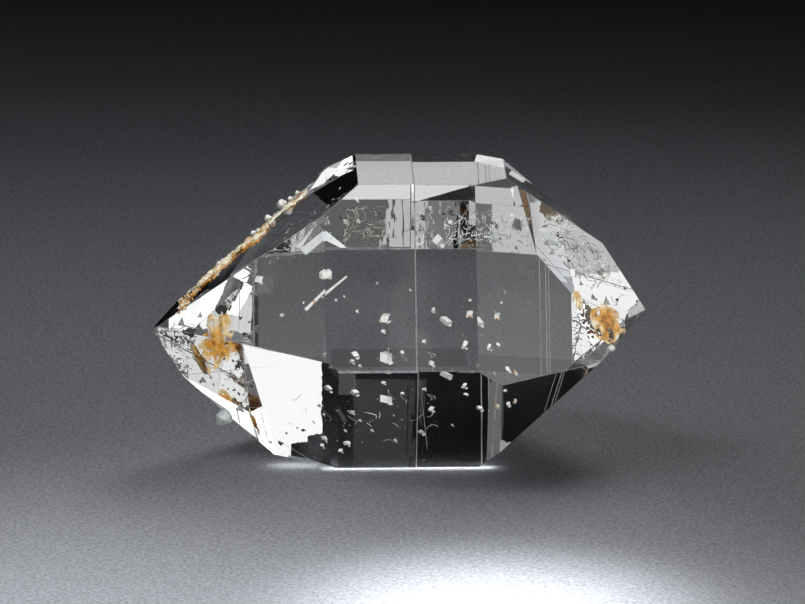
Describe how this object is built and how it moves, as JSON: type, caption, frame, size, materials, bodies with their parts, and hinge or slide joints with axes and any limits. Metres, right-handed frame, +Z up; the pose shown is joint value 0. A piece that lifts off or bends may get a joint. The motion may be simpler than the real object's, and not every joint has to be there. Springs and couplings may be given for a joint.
{
  "type": "doubly terminated quartz crystal",
  "caption": "Clear, stubby quartz crystal with a six-sided body and a faceted point at each end, lying on one of its long faces.",
  "frame": {"origin": "centre of the bounding box in plan, at the surface that the crystal lies on", "axes": "+X along the crystal's long axis, towards the point with the larger front face; +Z up, square to the face that it lies on; -Y towards the front"},
  "size_m": [0.0246, 0.0162, 0.0141],
  "materials": {
    "clear_quartz": "natural crystal faces, clear and glossy, with fine growth lines, small pits, white specks inside and rust-coloured iron stain at the points"
  },
  "bodies": {
    "root": {"crystal": "clear_quartz"}
  },
  "joints": []
}
